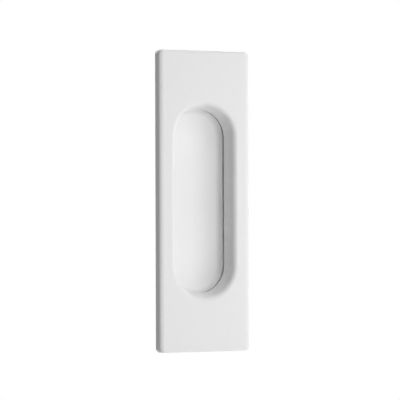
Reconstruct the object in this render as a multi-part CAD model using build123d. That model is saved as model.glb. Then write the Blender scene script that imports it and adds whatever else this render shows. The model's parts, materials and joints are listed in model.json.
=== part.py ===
"""Flush pull for a sliding door: a cover plate clipped over a cup that two hidden screws hold to the door.

The pull stands upright as on the door. X runs across it, Y into the door and Z up.
The origin is the centre of the door's surface behind the plate, so what stands proud
of the door has negative Y and what sinks into the door's mortise has positive Y.
"""

from build123d import *
from math import asin, atan2, cos, hypot, sin, sqrt, tan
import os

os.makedirs("parts", exist_ok=True)

# Driving dimensions in millimetres
# Cover plate: flat in front, rolled back softly along its two long edges
plate_width = 40.0
plate_height = 120.0
plate_thickness = 3.9
corner_radius = 1.8
soft_edge_width = 2.3
soft_edge_radius = 4.3
edge_rounding = 1.0
cover_wall = 1.3

# Finger recess in the cover: the oval at the seam and the lip above it
recess_width = 22.35
recess_height = 73.4
seam_depth = 5.5
lip_spread = 3.6
lip_rounding = 2.2
lip_wall = 1.2

# Bowl of the cup behind the seam: a steep wall that runs in to the floor's edge, and a bowed floor
# with a narrow flat along its deepest line
seam_gap = 1.3
bowl_wall_run = 0.7
floor_edge_depth = 9.0
floor_rounding = 2.5
floor_flat_width = 0.8
recess_depth = 11.0
bowl_thickness = 1.4

# Flange of the cup, which lies on the door under the cover
flange_thickness = 2.3
flange_corner = 1.0
flange_chamfer = 0.4
cover_clearance = 0.2
seat_clearance = 0.3
lip_clearance = 0.3
tub_wall = 1.3
knee_rounding = 1.0

# Snap beads on the flange's long edges and their grooves in the cover
bead_length = 10.0
bead_radius = 0.45
bead_height = 0.3
bead_clearance = 0.1
bead_inset = 18.0

# Countersunk wood screws above and below the recess
screw_head_diameter = 5.6
screw_neck_diameter = 2.3
screw_thread_diameter = 3.0
screw_length = 16.0
screw_tip_length = 2.8
screw_sink = 0.1
screw_clearance = 0.15
drive_width = 0.7
drive_span = 3.0
drive_depth = 1.0

# Places worked out from the sizes above
front = -plate_thickness
flange_front = -flange_thickness
cover_underside = flange_front - seat_clearance
seam_y = front + seam_depth
rim_y = seam_y + seam_gap
seam_radius = recess_width / 2
straight_half = (recess_height - recess_width) / 2
lip_radius = seam_radius + lip_spread

# The plate's long edges: where the flat front ends and how far the roll drops back to the side
flat_x = plate_width / 2 - soft_edge_width
roll_swing = asin(soft_edge_width / soft_edge_radius)
roll_drop = soft_edge_radius * (1 - cos(roll_swing))

# The bowl's floor is an arc through its two edges and its deepest line
floor_radius = seam_radius - bowl_wall_run
floor_edge_y = front + floor_edge_depth
bowl_bottom = front + recess_depth
floor_bow = bowl_bottom - floor_edge_y
bow_radius = (floor_radius**2 + floor_bow**2) / (2 * floor_bow)
bow_centre_y = bowl_bottom - bow_radius
bowl_lean = atan2(bowl_wall_run, floor_edge_y - rim_y)

# Lean of the recess's sloping wall from the plate's normal, tangent to the lip's rounding
lip_centre_depth = seam_depth - lip_rounding
wall_lean = atan2(lip_spread, lip_centre_depth) - asin(lip_rounding / hypot(lip_spread, lip_centre_depth))

# A cutter reaches this far past the faces that it opens, no inner corner is sharper than this radius,
# and points nearer to each other than this are the same
overcut = 1.0
smallest_radius = 0.3
same_place = 1e-3


def wall_x(start_x, start_y, y):
    """X of a wall that leans like the recess's own, at depth y, from one point on it."""
    return start_x + (start_y - y) * tan(wall_lean)


def bowl_wall_x(y, thickness):
    """X of the bowl's steep wall at depth y, on its inner face or a thickness outside it."""
    return seam_radius + thickness / cos(bowl_lean) - (y - rim_y) * tan(bowl_lean)


def stadium_sweep(half_section):
    """Carries a half section round the oval: straight down both sides and turned round both ends."""
    whole_section = half_section + mirror(half_section, about=Plane.YZ)
    upper_end = revolve(Pos(0, 0, straight_half) * half_section, Axis((0, 0, straight_half), (0, -1, 0)), 180)
    lower_end = mirror(upper_end, about=Plane.XY)
    return extrude(whole_section, straight_half, both=True) + upper_end + lower_end


def rounded_plate(width, height, back_y, front_y, radius):
    """A flat plate between two depths with its four corners rounded."""
    outline = RectangleRounded(width, height, radius)
    return extrude(Plane(origin=(0, front_y, 0), x_dir=(1, 0, 0), z_dir=(0, 1, 0)) * outline, back_y - front_y)


def front_edges(plate):
    """The edges round the face that looks away from the door."""
    return plate.faces().sort_by(Axis.Y)[0].edges()


def snap_beads(radius, length, centre_x):
    """Round bars along the flange's two long edges, near both ends."""
    bars = [
        Pos(side * centre_x, flange_front / 2, end * (plate_height / 2 - bead_inset)) * Cylinder(radius, length)
        for side in (-1, 1)
        for end in (-1, 1)
    ]
    return Part() + bars


def plate_blank():
    """The cover's outer form as a solid block, before the hollow behind it and the recess are cut."""
    side_x = plate_width / 2
    half_swing = roll_swing / 2
    middle = (flat_x + soft_edge_radius * sin(half_swing), front + soft_edge_radius * (1 - cos(half_swing)))
    outline = [
        Polyline((flat_x, front), (0, front), (0, 0), (side_x, 0), (side_x, front + roll_drop)),
        ThreePointArc((side_x, front + roll_drop), middle, (flat_x, front)),
    ]
    half_section = make_face(Curve() + outline)
    blank = extrude(half_section + mirror(half_section, about=Plane.YZ), plate_height / 2, both=True)
    blank = fillet(blank.edges().filter_by(Axis.Y), corner_radius)
    return fillet([edge for edge in blank.edges() if is_front_rim(edge)], edge_rounding)


def is_front_rim(edge):
    """Whether an edge of the blank is on the rim round its front, and not where the flat meets a roll."""
    middle = edge.center()
    where_roll_starts = abs(abs(middle.X) - flat_x) < same_place and abs(middle.Z) < same_place
    return middle.Y < front + roll_drop + smallest_radius and not where_roll_starts


def lip_void():
    """The recess through the cover: the lip's rounding, then the sloping wall down past the seam."""
    turn_x = lip_radius - lip_rounding * cos(wall_lean)
    turn_y = front + lip_rounding * (1 - sin(wall_lean))
    half_lean = (asin(1) + wall_lean) / 2
    middle_x = lip_radius - lip_rounding * cos(half_lean)
    middle_y = front + lip_rounding * (1 - sin(half_lean))
    past_seam = seam_y + overcut
    outline = [
        Polyline((lip_radius, front), (lip_radius, front - overcut), (0, front - overcut), (0, past_seam)),
        Polyline((0, past_seam), (wall_x(seam_radius, seam_y, past_seam), past_seam), (turn_x, turn_y)),
        ThreePointArc((turn_x, turn_y), (middle_x, middle_y), (lip_radius, front)),
    ]
    return stadium_sweep(make_face(Curve() + outline))


# Half widths at the cover's foot, the cup's ledge behind it and the cup's knee, which leans like them
foot_x = seam_radius + lip_wall / cos(wall_lean)
ledge_x = foot_x + lip_clearance / cos(wall_lean)
knee_x = ledge_x + tub_wall
knee_y = rim_y + bowl_thickness

# The flange's margin inside the plate, its snap beads, and the screws halfway along the land beside the cup
flange_margin = cover_wall + cover_clearance
bead_x = plate_width / 2 - flange_margin - bead_radius + bead_height
cup_end = straight_half + wall_x(knee_x, knee_y, 0)
screw_offset = (cup_end + plate_height / 2 - flange_margin) / 2


def build_front_cover():
    """Cover plate: a thin shell over the flange, with the lip and sloping wall standing down into the cup."""
    width = plate_width - 2 * cover_wall
    height = plate_height - 2 * cover_wall
    inner_corner = max(corner_radius - cover_wall, smallest_radius)
    inner = rounded_plate(width, height, overcut, cover_underside, inner_corner)
    inner = fillet(front_edges(inner), smallest_radius)
    lip_outside = Polyline(
        (0, cover_underside),
        (0, seam_y),
        (foot_x, seam_y),
        (wall_x(foot_x, seam_y, cover_underside), cover_underside),
        close=True,
    )
    lip = stadium_sweep(make_face(lip_outside))
    grooves = snap_beads(bead_radius + bead_clearance, bead_length + 2 * bead_clearance, bead_x)
    return plate_blank() - inner - grooves + lip - lip_void()


def bowl_half_section(top_y, thickness):
    """Half section of the bowl below a depth, grown all round by a thickness."""
    floor_flat_half = floor_flat_width / 2
    floor_y = bow_centre_y + sqrt((bow_radius + thickness) ** 2 - floor_flat_half**2)
    wall = Polyline(
        (0, top_y),
        (bowl_wall_x(top_y, thickness), top_y),
        (bowl_wall_x(floor_y, thickness), floor_y),
        (0, floor_y),
        close=True,
    )
    section = make_face(wall) & Pos(0, bow_centre_y) * Circle(bow_radius + thickness)
    past_flat = floor_flat_half + same_place
    floor_edge = [v for v in section.vertices() if v.X > past_flat and v.Y > top_y + same_place]
    return fillet(floor_edge, floor_rounding)


def cup_void():
    """Inside of the cup: the bowl, the ledge behind the seam, and the well that takes the cover's lip."""
    mouth_y = flange_front - overcut
    well = Polyline(
        (0, rim_y),
        (ledge_x, rim_y),
        (wall_x(ledge_x, rim_y, mouth_y), mouth_y),
        (0, mouth_y),
        close=True,
    )
    return stadium_sweep(bowl_half_section(rim_y, 0) + make_face(well))


def cup_outside():
    """Outside of the cup behind the flange: a leaning wall, a knee and the bowl's back."""
    root_y = flange_front / 2
    well = Polyline(
        (0, root_y),
        (wall_x(knee_x, knee_y, root_y), root_y),
        (knee_x, knee_y),
        (0, knee_y),
        close=True,
    )
    section = make_face(well) + bowl_half_section(knee_y, bowl_thickness)
    knee = [v for v in section.vertices() if abs(v.X - knee_x) < same_place and abs(v.Y - knee_y) < same_place]
    return stadium_sweep(fillet(knee, knee_rounding))


head_top = flange_front + screw_sink
head_height = (screw_head_diameter - screw_neck_diameter) / 2
hole_radius = screw_thread_diameter / 2 + screw_clearance


def screw_hole(end):
    """Countersunk hole through the flange, a clearance larger all round than the screw."""
    head_radius = screw_head_diameter / 2 + screw_clearance
    cone_end = head_top + head_radius - hole_radius
    outline = Polyline(
        (0, flange_front - overcut),
        (head_radius, flange_front - overcut),
        (head_radius, head_top),
        (hole_radius, cone_end),
        (hole_radius, overcut),
        (0, overcut),
        close=True,
    )
    return Pos(0, 0, end * screw_offset) * revolve(make_face(outline), Axis.Y, 360)


def build_cup_base():
    """Cup and flange in one moulding: the bowl in the door's mortise and the plate that the screws hold."""
    width = plate_width - 2 * flange_margin
    height = plate_height - 2 * flange_margin
    flange = rounded_plate(width, height, 0, flange_front, flange_corner)
    flange = chamfer(front_edges(flange), flange_chamfer)
    base = flange + cup_outside() + snap_beads(bead_radius, bead_length, bead_x)
    base -= cup_void()
    for end in (-1, 1):
        base -= screw_hole(end)
    return base


def build_screw(end):
    """Countersunk wood screw: coned head with a cross drive, plain neck, thread's outer form and point."""
    neck_radius = screw_neck_diameter / 2
    thread_radius = screw_thread_diameter / 2
    thread_start = screw_clearance
    tip = head_top + screw_length
    outline = Polyline(
        (0, head_top),
        (screw_head_diameter / 2, head_top),
        (neck_radius, head_top + head_height),
        (neck_radius, thread_start),
        (thread_radius, thread_start),
        (thread_radius, tip - screw_tip_length),
        (0, tip),
        close=True,
    )
    screw = revolve(make_face(outline), Axis.Y, 360)
    drive = Box(drive_width, 2 * drive_depth, drive_span) + Box(drive_span, 2 * drive_depth, drive_width)
    return Pos(0, 0, end * screw_offset) * (screw - Pos(0, head_top, 0) * drive)


export_step(build_front_cover(), "parts/front_cover.step")
export_step(build_cup_base(), "parts/cup_base.step")
export_step(build_screw(1), "parts/upper_screw.step")
export_step(build_screw(-1), "parts/lower_screw.step")
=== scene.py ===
# %% [markdown]
# A white flush pull for a sliding door.
#
# The real object is a rectangular cover plate, die cast in zinc and coated white, which clips over
# a moulded cup. The cup sinks into a mortise in the door, and two screws hide under the cover.
# The solids come ready made and to size. This lesson gives them their surfaces, cuts real threads
# on the screws, and lights and frames the pull as a catalogue photographer would.

# %% Load the fixed frame
import bmesh
import bpy
import json
from math import cos, pi, radians, sin
from mathutils import Matrix, Vector


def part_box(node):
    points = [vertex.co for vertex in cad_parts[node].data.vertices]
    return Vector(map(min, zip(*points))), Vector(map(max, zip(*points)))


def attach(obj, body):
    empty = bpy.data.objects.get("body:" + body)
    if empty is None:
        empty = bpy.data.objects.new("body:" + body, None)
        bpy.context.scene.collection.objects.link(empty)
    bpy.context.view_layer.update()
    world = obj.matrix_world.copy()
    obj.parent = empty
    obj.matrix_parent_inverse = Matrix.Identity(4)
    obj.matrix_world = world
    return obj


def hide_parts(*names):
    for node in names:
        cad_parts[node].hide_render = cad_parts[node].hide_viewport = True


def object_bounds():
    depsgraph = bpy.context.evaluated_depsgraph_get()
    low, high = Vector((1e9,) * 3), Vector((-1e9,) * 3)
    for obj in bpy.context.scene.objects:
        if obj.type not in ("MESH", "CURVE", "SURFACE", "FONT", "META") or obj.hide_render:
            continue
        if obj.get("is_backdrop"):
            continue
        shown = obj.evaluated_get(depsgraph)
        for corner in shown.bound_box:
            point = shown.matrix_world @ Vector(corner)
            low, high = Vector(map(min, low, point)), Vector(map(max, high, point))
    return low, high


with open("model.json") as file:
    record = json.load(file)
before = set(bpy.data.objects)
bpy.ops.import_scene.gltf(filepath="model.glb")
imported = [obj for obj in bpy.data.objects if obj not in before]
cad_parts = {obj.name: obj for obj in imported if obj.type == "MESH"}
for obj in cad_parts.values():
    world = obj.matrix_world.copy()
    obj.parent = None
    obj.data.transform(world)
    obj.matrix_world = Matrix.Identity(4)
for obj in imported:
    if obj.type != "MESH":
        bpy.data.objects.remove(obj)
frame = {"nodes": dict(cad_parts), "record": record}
cad_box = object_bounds()
nodes = frame["nodes"]
MM = 0.001
print("pieces in the frame:", sorted(nodes))

# %% [markdown]
# Colours are picked as a paint chart gives them, as sRGB hex values, but a renderer adds up light,
# so it needs linear ones. One function does the change, and every colour in this file goes through it.

# %% Turn a hex colour into linear light
def linear_colour(hex_code):
    channels = [int(hex_code[i:i + 2], 16) / 255 for i in (1, 3, 5)]
    return [c / 12.92 if c <= 0.04045 else ((c + 0.055) / 1.055) ** 2.4 for c in channels] + [1.0]


print("middle grey in linear light:", [round(c, 3) for c in linear_colour("#808080")])

# %% [markdown]
# A material is a small graph of nodes. Adding a node always takes the same three steps: make it,
# set its menus, and fill or link its inputs. One helper for those steps keeps each recipe short.
# An input takes a plain value or the output of a node made before it.

# %% Add one node with its settings and links
def add_node(tree, kind, inputs=None, **settings):
    node = tree.nodes.new(kind)
    for name, value in settings.items():
        setattr(node, name, value)
    for name, value in (inputs or {}).items():
        if isinstance(value, bpy.types.NodeSocket):
            tree.links.new(value, node.inputs[name])
        else:
            node.inputs[name].default_value = value
    return node


# %% [markdown]
# Every finish here is made the same way: an empty material to fill with nodes, and then one slot on
# the piece that holds it. The pieces that come with the frame have a plain material already, which
# makes room for the new one. A Mix node has inputs for numbers, vectors and colours under the same
# names, so its colour inputs and its colour output are picked by their places in the list. A noise
# adds finer and finer layers to its first one, and its detail is the number of those layers.

# %% Start a material and put it on a piece
SOFT_DETAIL = 1.0
PLAIN_DETAIL = 2.0
ROUGH_DETAIL = 3.0
MIX_AMOUNT = 0
MIX_FIRST = 6
MIX_SECOND = 7
MIX_RESULT = 2


def new_material(name):
    material = bpy.data.materials.new(name)
    material.use_nodes = True
    material.node_tree.nodes.clear()
    return material, material.node_tree


def coat_object(piece, material):
    piece.data.materials.clear()
    piece.data.materials.append(material)
    for face in piece.data.polygons:
        face.material_index = 0


print("pieces that wait for a finish:", len(nodes))

# %% [markdown]
# The cover is a zinc casting with a satin white powder coat. Powder melts and flows in the oven,
# and it leaves a very faint orange peel, with waves about a millimetre apart and a few
# thousandths of a millimetre high. The eye gets a soft, even, neutral white with broad, weak highlights.
# An image texture could hold that, but noise in the object's own coordinates has a real scale
# in millimetres and needs no unwrapping, so that is used here. The grain between the waves is drawn
# a few times coarser than the real powder's, so that a close view can show it.

# %% Satin white powder coat on zinc
PEEL_WAVE = 1.1 * MM
PEEL_GRAIN = 0.28 * MM
PEEL_HEIGHT = 0.004 * MM
GRAIN_HEIGHT = PEEL_HEIGHT / 4
COAT_LIGHT = "#eeeeee"
COAT_DARK = "#eaeaea"
COAT_SMOOTH = 0.42
COAT_ROUGH = 0.5
COAT_IOR = 1.5


def powder_coat_on_zinc():
    material, tree = new_material("satin_white_powder_coat")
    place = add_node(tree, "ShaderNodeTexCoord").outputs["Object"]
    peel = add_node(
        tree, "ShaderNodeTexNoise",
        {"Vector": place, "Scale": 1 / PEEL_WAVE, "Detail": PLAIN_DETAIL},
    ).outputs["Fac"]
    grain = add_node(
        tree, "ShaderNodeTexNoise",
        {"Vector": place, "Scale": 1 / PEEL_GRAIN, "Detail": ROUGH_DETAIL},
    ).outputs["Fac"]
    colour = add_node(
        tree, "ShaderNodeMix",
        {MIX_AMOUNT: peel, MIX_FIRST: linear_colour(COAT_DARK), MIX_SECOND: linear_colour(COAT_LIGHT)},
        data_type="RGBA",
    )
    gloss = add_node(
        tree, "ShaderNodeMapRange",
        {"Value": grain, "To Min": COAT_SMOOTH, "To Max": COAT_ROUGH},
    )
    waves = add_node(tree, "ShaderNodeBump", {"Height": peel, "Distance": PEEL_HEIGHT})
    bumps = add_node(
        tree, "ShaderNodeBump",
        {"Height": grain, "Distance": GRAIN_HEIGHT, "Normal": waves.outputs["Normal"]},
    )
    shader = add_node(
        tree, "ShaderNodeBsdfPrincipled",
        {
            "Base Color": colour.outputs[MIX_RESULT], "Roughness": gloss.outputs["Result"],
            "IOR": COAT_IOR, "Normal": bumps.outputs["Normal"],
        },
    )
    add_node(tree, "ShaderNodeOutputMaterial", {"Surface": shader.outputs["BSDF"]})
    return material


coat_object(nodes["front_cover"], powder_coat_on_zinc())
print("powder coat waves per metre:", round(1 / PEEL_WAVE))

# %% [markdown]
# The cup is moulded in white ABS. Its mould was spark eroded, which leaves an even matt grain finer
# than the powder coat's, and no flow marks. In the recess it has to look like the cover, because
# the two are sold as one white, so the recipe is close, with a finer grain and no peel. The real
# grain is some hundredths of a millimetre; this one is coarser, again for close views. A very soft
# cloud a centimetre wide stands for the slight unevenness of any moulded white.

# %% Spark grained white ABS
SPARK_GRAIN = 0.15 * MM
SPARK_HEIGHT = 0.0015 * MM
CLOUD_SIZE = 12 * MM
ABS_WHITE = "#eeeeee"
ABS_SHADE = "#ebebeb"
ABS_SMOOTH = 0.5
ABS_ROUGH = 0.58
ABS_IOR = 1.54


def spark_grained_abs():
    material, tree = new_material("spark_grained_white_abs")
    place = add_node(tree, "ShaderNodeTexCoord").outputs["Object"]
    grain = add_node(
        tree, "ShaderNodeTexNoise",
        {"Vector": place, "Scale": 1 / SPARK_GRAIN, "Detail": PLAIN_DETAIL},
    ).outputs["Fac"]
    cloud = add_node(
        tree, "ShaderNodeTexNoise",
        {"Vector": place, "Scale": 1 / CLOUD_SIZE, "Detail": SOFT_DETAIL},
    ).outputs["Fac"]
    colour = add_node(
        tree, "ShaderNodeMix",
        {MIX_AMOUNT: cloud, MIX_FIRST: linear_colour(ABS_SHADE), MIX_SECOND: linear_colour(ABS_WHITE)},
        data_type="RGBA",
    )
    gloss = add_node(
        tree, "ShaderNodeMapRange",
        {"Value": grain, "To Min": ABS_SMOOTH, "To Max": ABS_ROUGH},
    )
    bumps = add_node(tree, "ShaderNodeBump", {"Height": grain, "Distance": SPARK_HEIGHT})
    shader = add_node(
        tree, "ShaderNodeBsdfPrincipled",
        {
            "Base Color": colour.outputs[MIX_RESULT], "Roughness": gloss.outputs["Result"],
            "IOR": ABS_IOR, "Normal": bumps.outputs["Normal"],
        },
    )
    add_node(tree, "ShaderNodeOutputMaterial", {"Surface": shader.outputs["BSDF"]})
    return material


coat_object(nodes["cup_base"], spark_grained_abs())
print("spark grain per metre:", round(1 / SPARK_GRAIN))

# %% [markdown]
# The frame's screws are plain rods, which is enough to hold things in a simulation. A wood screw's
# thread is a helix, and the eye reads it at once, even at this size. One grid of points makes the
# whole screw. Its columns run along the shank. Round the head and neck its rows are plain circles,
# and along the thread they follow the helix, each column a little further on than the one before it,
# so that the crest stays one clean line. Rows that would lie before the thread's start or past the
# point are held there, and welding joins what falls together.

# %% Turn a screw on the lathe and cut its thread
COLUMNS = 48
THREAD_PITCH = 1.35 * MM
ROOT_RADIUS = 1.05 * MM
NECK_RADIUS = 1.15 * MM
THREAD_START = 0.15 * MM
TAPER_LENGTH = 2.8 * MM
HEAD_EDGE = 0.15 * MM
NECK_STEP = HEAD_EDGE / 2
MOUNTS = {mount["name"]: mount for mount in frame["record"]["mounts"]}
CREST_RADIUS = MOUNTS["upper_screw_thread"]["dims"]["r_mm"] * MM
# One turn of the thread, as parts of the pitch and of the crest's height.
THREAD_PROFILE = ((0.0, 0.0), (0.42, 0.0), (0.66, 1.0), (0.76, 1.0))
WELD = 0.0005 * MM


def thread_radius(y, height, tip):
    """Radius at depth y: the thread grows over its first turn, and tapers to nothing at the tip."""
    grown = min(1.0, (y - THREAD_START) / THREAD_PITCH)
    left = min(1.0, (tip - y) / TAPER_LENGTH)
    return left * (ROOT_RADIUS + grown * height * (CREST_RADIUS - ROOT_RADIUS))


def screw_rows(head_top, head_radius, tip):
    """Each row of the screw as one (y, radius) for each column, from the head's rim to the point."""
    cone_end = head_top + HEAD_EDGE + head_radius - NECK_RADIUS
    circles = [
        (head_top, head_radius),
        (head_top + HEAD_EDGE, head_radius),
        (cone_end, NECK_RADIUS),
        (THREAD_START - NECK_STEP, NECK_RADIUS),
    ]
    rows = [[circle] * (COLUMNS + 1) for circle in circles]
    turns = int((tip - THREAD_START) / THREAD_PITCH) + 2
    for turn in range(-1, turns):
        for part, height in THREAD_PROFILE:
            row = []
            for column in range(COLUMNS + 1):
                y = THREAD_START + (turn + part + column / COLUMNS) * THREAD_PITCH
                y = min(max(y, THREAD_START), tip)
                row.append((y, thread_radius(y, height, tip)))
            rows.append(row)
    return rows


def screw_mesh(name, rows, height):
    """The rows as a closed skin about an axis along Y, at a height above the middle."""
    shape = bmesh.new()
    grid = []
    for row in rows:
        ring = []
        for column, (y, radius) in enumerate(row):
            angle = 2 * pi * column / COLUMNS
            ring.append(shape.verts.new((radius * cos(angle), y, height + radius * sin(angle))))
        grid.append(ring)
    for above, below in zip(grid, grid[1:]):
        for i in range(COLUMNS):
            shape.faces.new((above[i], above[i + 1], below[i + 1], below[i]))
    shape.faces.new(grid[0][:COLUMNS])
    bmesh.ops.remove_doubles(shape, verts=shape.verts, dist=WELD)
    bmesh.ops.recalc_face_normals(shape, faces=shape.faces)
    mesh = bpy.data.meshes.new(name)
    shape.to_mesh(mesh)
    shape.free()
    return mesh


print("thread height in millimetres:", round((CREST_RADIUS - ROOT_RADIUS) / MM, 2))

# %% [markdown]
# A cross drive is stamped into the head. Its punch is a cross that tapers, so that a worn bit still
# wedges tight. Here the punch is a mesh too, and one boolean cut takes it out of the head.

# %% Stamp the cross drive
DRIVE_SPAN = 3.0 * MM
DRIVE_WIDTH = 0.7 * MM
DRIVE_DEPTH = 1.0 * MM
DRIVE_TAPER = 0.55


def drive_punch(head_top, height):
    """A tapered cross from just ahead of the head down to the drive's depth."""
    arm, half = DRIVE_SPAN / 2, DRIVE_WIDTH / 2
    outline = []
    quarter = [(arm, -half), (arm, half), (half, half)]
    for quarter_turn in range(4):
        outline += quarter
        quarter = [(-z, x) for x, z in quarter]
    levels = (
        (head_top - DRIVE_DEPTH / 2, 1.0),
        (head_top, 1.0),
        (head_top + DRIVE_DEPTH, DRIVE_TAPER),
    )
    shape = bmesh.new()
    ends = []
    for y, scale in levels:
        ends.append([shape.verts.new((x * scale, y, height + z * scale)) for x, z in outline])
    for above, below in zip(ends, ends[1:]):
        for i in range(len(outline)):
            j = (i + 1) % len(outline)
            shape.faces.new((above[i], above[j], below[j], below[i]))
    shape.faces.new(ends[0])
    shape.faces.new(ends[-1])
    bmesh.ops.recalc_face_normals(shape, faces=shape.faces)
    mesh = bpy.data.meshes.new("drive_punch")
    shape.to_mesh(mesh)
    shape.free()
    return mesh


def stamp(piece, punch_mesh):
    punch = bpy.data.objects.new("drive_punch", punch_mesh)
    bpy.context.scene.collection.objects.link(punch)
    cut = piece.modifiers.new("drive", "BOOLEAN")
    cut.operation = "DIFFERENCE"
    cut.solver = "EXACT"
    cut.object = punch
    bpy.context.view_layer.update()
    depsgraph = bpy.context.evaluated_depsgraph_get()
    piece.data = bpy.data.meshes.new_from_object(piece.evaluated_get(depsgraph))
    piece.modifiers.clear()
    bpy.data.objects.remove(punch)


print("the drive narrows inwards to millimetres:", round(DRIVE_SPAN * DRIVE_TAPER / MM, 2))

# %% [markdown]
# The screws are bright zinc plated steel. Zinc is a cool grey metal, and its clear passivation
# shifts the grey towards blue in soft patches a few millimetres wide. The plating itself is
# slightly rough, so that highlights on the thread spread out; its crystals are far too fine to
# show, so the grain is drawn at the finest size that a close view still can.

# %% Bright zinc plating
PLATE_PATCH = 2.5 * MM
PLATE_GRAIN = 0.08 * MM
PLATE_HEIGHT = 0.001 * MM
ZINC_GREY = "#c3c4c4"
ZINC_BLUE = "#b6bcc6"
ZINC_SMOOTH = 0.24
ZINC_ROUGH = 0.36


def bright_zinc_plating():
    material, tree = new_material("bright_zinc_plating")
    place = add_node(tree, "ShaderNodeTexCoord").outputs["Object"]
    patch = add_node(
        tree, "ShaderNodeTexNoise",
        {"Vector": place, "Scale": 1 / PLATE_PATCH, "Detail": SOFT_DETAIL},
    ).outputs["Fac"]
    grain = add_node(
        tree, "ShaderNodeTexNoise",
        {"Vector": place, "Scale": 1 / PLATE_GRAIN, "Detail": PLAIN_DETAIL},
    ).outputs["Fac"]
    colour = add_node(
        tree, "ShaderNodeMix",
        {MIX_AMOUNT: patch, MIX_FIRST: linear_colour(ZINC_GREY), MIX_SECOND: linear_colour(ZINC_BLUE)},
        data_type="RGBA",
    )
    gloss = add_node(
        tree, "ShaderNodeMapRange",
        {"Value": grain, "To Min": ZINC_SMOOTH, "To Max": ZINC_ROUGH},
    )
    bumps = add_node(tree, "ShaderNodeBump", {"Height": grain, "Distance": PLATE_HEIGHT})
    shader = add_node(
        tree, "ShaderNodeBsdfPrincipled",
        {
            "Base Color": colour.outputs[MIX_RESULT], "Metallic": 1.0,
            "Roughness": gloss.outputs["Result"], "Normal": bumps.outputs["Normal"],
        },
    )
    add_node(tree, "ShaderNodeOutputMaterial", {"Surface": shader.outputs["BSDF"]})
    return material


zinc = bright_zinc_plating()
print("plating grain per metre:", round(1 / PLATE_GRAIN))

# %% [markdown]
# Each screw takes its place and size from the plain rod that it stands for: the rod's box gives the
# head's diameter, the head's front and the point. The new piece is named after the node it replaces,
# and the rod is hidden but stays for the simulation, so only the threaded screw is seen.

# %% Put a threaded screw in the place of each plain one
SHARP_ANGLE = radians(25)


def dress_screw(node, material):
    """A threaded screw with a cross drive in place of one of the frame's plain rods."""
    low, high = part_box(node)
    height = (low.z + high.z) / 2
    head_radius = (high.x - low.x) / 2
    rows = screw_rows(low.y, head_radius, high.y)
    piece = bpy.data.objects.new(node + "_threaded", screw_mesh(node, rows, height))
    bpy.context.scene.collection.objects.link(piece)
    stamp(piece, drive_punch(low.y, height))
    coat_object(piece, material)
    piece.data.shade_smooth()
    piece.data.set_sharp_from_angle(angle=SHARP_ANGLE)
    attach(piece, "root")
    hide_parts(node)
    return len(piece.data.polygons)


for screw in ("upper_screw", "lower_screw"):
    print(screw, "faces:", dress_screw(screw, zinc))

# %% [markdown]
# The floor is a plain pale sheet a metre below the pull, because a pull sits about a metre up its
# door. The background is white: the world shows plain white to the camera and to reflections, and
# a much weaker white to everything else, so that it lifts the shadows without washing out the form.
# The floor does the same with a share of glow, which is seen but lights nothing. Under the pull a
# little of the paint still shows, so that a shadow can lie there. The share grows to all of it four
# metres out, where the sheet runs into the white of the world without an edge.

# %% Floor and world
WHITE = linear_colour("#ffffff")
FLOOR_DROP = 1.0
FLOOR_SIZE = 16.0
FLOOR_PAINT = "#f4f4f4"
FLOOR_GLOW = 0.92
FLOOR_FADE = 4.0
FILL_LIGHT = 0.05


def seen_directly(tree):
    """One for what the camera sees itself, or in a shiny or clear surface, and nought for other light."""
    rays = add_node(tree, "ShaderNodeLightPath").outputs
    seen = add_node(
        tree, "ShaderNodeMath",
        {0: rays["Is Camera Ray"], 1: rays["Is Glossy Ray"]}, operation="MAXIMUM",
    )
    seen_or_through = add_node(
        tree, "ShaderNodeMath",
        {0: seen.outputs[0], 1: rays["Is Transmission Ray"]}, operation="MAXIMUM",
    )
    return seen_or_through.outputs[0]


def pale_floor():
    mesh = bpy.data.meshes.new("pale_floor")
    half = FLOOR_SIZE / 2
    height = cad_box[0][2] - FLOOR_DROP
    corners = [(-half, -half, 0), (half, -half, 0), (half, half, 0), (-half, half, 0)]
    mesh.from_pydata(corners, [], [(0, 1, 2, 3)])
    floor = bpy.data.objects.new("pale_floor", mesh)
    floor.location.z = height
    bpy.context.scene.collection.objects.link(floor)
    material, tree = new_material("floor_paint")
    paint = add_node(tree, "ShaderNodeBsdfDiffuse", {"Color": linear_colour(FLOOR_PAINT)})
    glow = add_node(tree, "ShaderNodeEmission", {"Color": WHITE, "Strength": 1.0})
    place = add_node(tree, "ShaderNodeTexCoord").outputs["Object"]
    away = add_node(tree, "ShaderNodeVectorMath", {0: place}, operation="LENGTH")
    whiter = add_node(
        tree, "ShaderNodeMapRange",
        {"Value": away.outputs["Value"], "From Max": FLOOR_FADE, "To Min": FLOOR_GLOW},
    )
    share = add_node(
        tree, "ShaderNodeMath",
        {0: seen_directly(tree), 1: whiter.outputs["Result"]}, operation="MULTIPLY",
    )
    both = add_node(
        tree, "ShaderNodeMixShader",
        {0: share.outputs[0], 1: paint.outputs["BSDF"], 2: glow.outputs["Emission"]},
    )
    add_node(tree, "ShaderNodeOutputMaterial", {"Surface": both.outputs["Shader"]})
    mesh.materials.append(material)
    floor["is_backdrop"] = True
    return height


def white_world():
    world = bpy.data.worlds.new("white_studio")
    bpy.context.scene.world = world
    world.use_nodes = True
    tree = world.node_tree
    tree.nodes.clear()
    fill = add_node(tree, "ShaderNodeBackground", {"Color": WHITE, "Strength": FILL_LIGHT})
    white = add_node(tree, "ShaderNodeBackground", {"Color": WHITE, "Strength": 1.0})
    both = add_node(
        tree, "ShaderNodeMixShader",
        {0: seen_directly(tree), 1: fill.outputs["Background"], 2: white.outputs["Background"]},
    )
    add_node(tree, "ShaderNodeOutputWorld", {"Surface": both.outputs["Shader"]})


print("floor height in metres:", round(pale_floor(), 4))
white_world()

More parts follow.
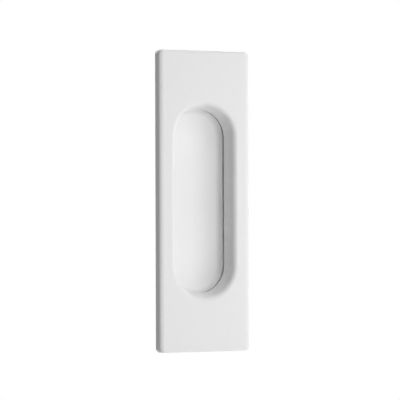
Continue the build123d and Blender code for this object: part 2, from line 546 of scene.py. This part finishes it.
# %% [markdown]
# The photograph's light comes from the right, as from the inside of a light tent that is open to the
# left of the camera. Faces that look right are nearly white, the plate's face is a little darker,
# and the left edge and the right wall of the recess are in half shade. The lip is about as bright
# above and below the recess, so the tent glows above and below the camera as well. Seven soft
# lamps almost a metre away stand for its wall, one of them behind, so that the back is lit too. Two
# small ones stand closer: their light falls off across the plate, which gives its face the slow
# change from left to right that the photograph has. Each is given by its angle round the pull from
# straight in front, to the right, by its angle up, its distance, its size and its power.

# %% Soft lamps
# turn and rise in degrees, distance in metres, width and height in metres, watts
LAMPS = {
    "front_box": (8, 0, 0.9, (0.3, 0.3), 2.86),
    "near_front_right_box": (42, 0, 0.35, (0.15, 0.15), 0.28),
    "near_right_box": (80, 0, 0.35, (0.12, 0.25), 0.08),
    "left_glow": (-115, 0, 0.9, (0.4, 0.8), 1.33),
    "back_box": (180, 0, 0.9, (0.15, 0.8), 4.8),
    "upper_front": (15, 45, 0.9, (0.3, 0.3), 1.31),
    "lower_front": (15, -45, 0.9, (0.3, 0.3), 1.31),
    "upper_right": (85, 60, 0.9, (0.4, 0.4), 2.48),
    "lower_right": (85, -60, 0.9, (0.4, 0.4), 2.48),
}


def soft_lamp(name, turn, rise, distance, size, watts):
    lamp = bpy.data.lights.new(name, "AREA")
    lamp.shape = "RECTANGLE"
    lamp.size, lamp.size_y = size
    lamp.energy = watts
    light = bpy.data.objects.new(name, lamp)
    turn, rise = radians(turn), radians(rise)
    place = distance * Vector((sin(turn) * cos(rise), -cos(turn) * cos(rise), sin(rise)))
    light.matrix_world = Matrix.Translation(place) @ place.to_track_quat("Z", "Y").to_matrix().to_4x4()
    bpy.context.scene.collection.objects.link(light)
    return watts


power = sum(soft_lamp(name, *settings) for name, settings in LAMPS.items())
bpy.context.scene.view_settings.view_transform = "Standard"
print("lamps:", len(LAMPS), "with", round(power, 1), "watts")

# %% [markdown]
# The camera stands to the left of the pull and a hair below its middle, about a metre away with a
# long lens, so that the plate's far side is only slightly smaller than its near side.
# The picture is square and 400 pixels wide; the lens is given as that width over the focal length.

# %% Camera
CAMERA_TURN = radians(26.25)
CAMERA_RISE = radians(-0.72)
CAMERA_ROLL = radians(-0.19)
CAMERA_DISTANCE = 0.98
PICTURE = 400
FOCAL_PIXELS = 2460
FACE_CENTRE_PIXEL = (205.1, 201.2)
SENSOR = 36.0


def photo_camera():
    data = bpy.data.cameras.new("photo_camera")
    data.sensor_width = SENSOR
    data.sensor_fit = "HORIZONTAL"
    data.lens = SENSOR * FOCAL_PIXELS / PICTURE
    data.shift_x = (PICTURE / 2 - FACE_CENTRE_PIXEL[0]) / PICTURE
    data.shift_y = (FACE_CENTRE_PIXEL[1] - PICTURE / 2) / PICTURE
    camera = bpy.data.objects.new("photo_camera", data)
    face = Vector((0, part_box("front_cover")[0].y, 0))
    level = cos(CAMERA_RISE)
    away = Vector((-sin(CAMERA_TURN) * level, -cos(CAMERA_TURN) * level, sin(CAMERA_RISE)))
    turn = away.to_track_quat("Z", "Y").to_matrix().to_4x4()
    place = Matrix.Translation(face + away * CAMERA_DISTANCE)
    camera.matrix_world = place @ turn @ Matrix.Rotation(CAMERA_ROLL, 4, "Z")
    bpy.context.scene.collection.objects.link(camera)
    bpy.context.scene.camera = camera
    return data.lens


print("lens in millimetres:", round(photo_camera(), 1))

# %% [markdown]
# The looks must not change the size. The box of the plain solids, taken at the start, and the box
# of the finished pieces are compared, and the largest difference between them is printed.

# %% Compare both boxes and finish
visual_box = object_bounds()
growth = max(abs(a - b) for cad, seen in zip(cad_box, visual_box) for a, b in zip(cad, seen))
print("difference between the boxes in millimetres:", round(growth / MM, 3))
